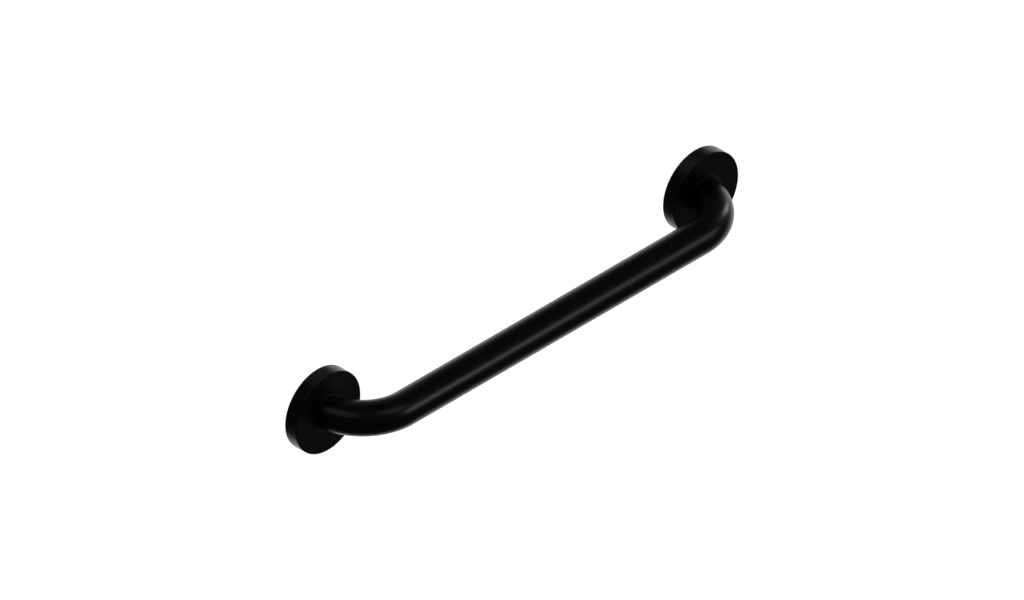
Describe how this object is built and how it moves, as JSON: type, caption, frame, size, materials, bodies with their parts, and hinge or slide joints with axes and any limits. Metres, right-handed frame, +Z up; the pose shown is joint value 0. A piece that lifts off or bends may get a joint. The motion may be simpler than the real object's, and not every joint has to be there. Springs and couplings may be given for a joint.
{
  "type": "grab rail",
  "caption": "Straight wall grab rail: round steel tube with a bend at each end, welded to plates hidden by round push-fit rose covers, black powder coat",
  "frame": {"origin": "on the wall plane, midway between the axes of the two fixings", "axes": "+X along the rail, +Y into the wall (the whole rail is at negative Y), +Z up when the rail is fixed level"},
  "size_m": [0.527, 0.0695, 0.077],
  "materials": {
    "black_powder_coat": "satin black powder coat on steel",
    "black_nylon": "moulded black nylon",
    "grey_foam": "closed-cell foam seal"
  },
  "bodies": {
    "rail": {"grab_tube": "black_powder_coat", "left_mounting_plate": "black_powder_coat", "left_weld_bead": "black_powder_coat", "left_wall_gasket": "grey_foam", "left_clip_ring": "black_nylon", "right_mounting_plate": "black_powder_coat", "right_weld_bead": "black_powder_coat", "right_wall_gasket": "grey_foam", "right_clip_ring": "black_nylon"},
    "left_guide": {"left_guide_ring": "black_nylon"},
    "left_cover": {"left_rose_cover": "black_powder_coat"},
    "right_guide": {"right_guide_ring": "black_nylon"},
    "right_cover": {"right_rose_cover": "black_powder_coat"}
  },
  "joints": [
    {"name": "left_cover_swing", "type": "hinge", "parent": "rail", "child": "left_guide", "pos_m": [-0.175, -0.004, 0], "axis": [0, 0, 1], "range_deg": [0, 75]},
    {"name": "left_cover_spin", "type": "hinge", "parent": "left_guide", "child": "left_cover", "pos_m": [-0.225, -0.0129, 0], "axis": [0, 1, 0], "continuous": true},
    {"name": "right_cover_swing", "type": "hinge", "parent": "rail", "child": "right_guide", "pos_m": [0.175, -0.004, 0], "axis": [0, 0, -1], "range_deg": [0, 75]},
    {"name": "right_cover_spin", "type": "hinge", "parent": "right_guide", "child": "right_cover", "pos_m": [0.225, -0.0129, 0], "axis": [0, 1, 0], "continuous": true}
  ]
}
